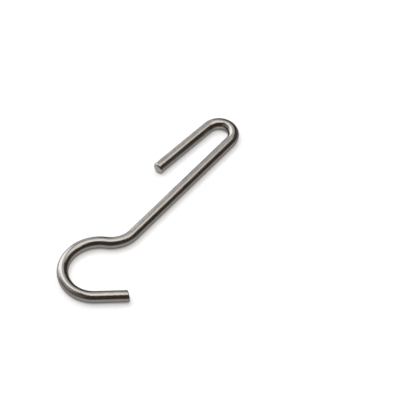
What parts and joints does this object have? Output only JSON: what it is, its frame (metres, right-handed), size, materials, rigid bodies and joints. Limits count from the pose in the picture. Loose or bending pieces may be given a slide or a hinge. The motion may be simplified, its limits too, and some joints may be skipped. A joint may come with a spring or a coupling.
{
  "type": "utensil hook",
  "caption": "Utensil hook bent flat from round stainless wire: a long narrow hook drops over a rack's bar, and a round hook below it carries the utensil.",
  "frame": {"origin": "on the table that the hook lies on, under the middle of its outline", "axes": "+Y up the shank towards the rail hook, +X to the side that the round hook opens to, +Z out of the flat of the hook"},
  "size_m": [0.0386, 0.1162, 0.005],
  "materials": {
    "stainless_wire": "satin as drawn, warm grey, with fine lines along the wire"
  },
  "bodies": {
    "root": {"wire_hook": "stainless_wire"}
  },
  "joints": []
}
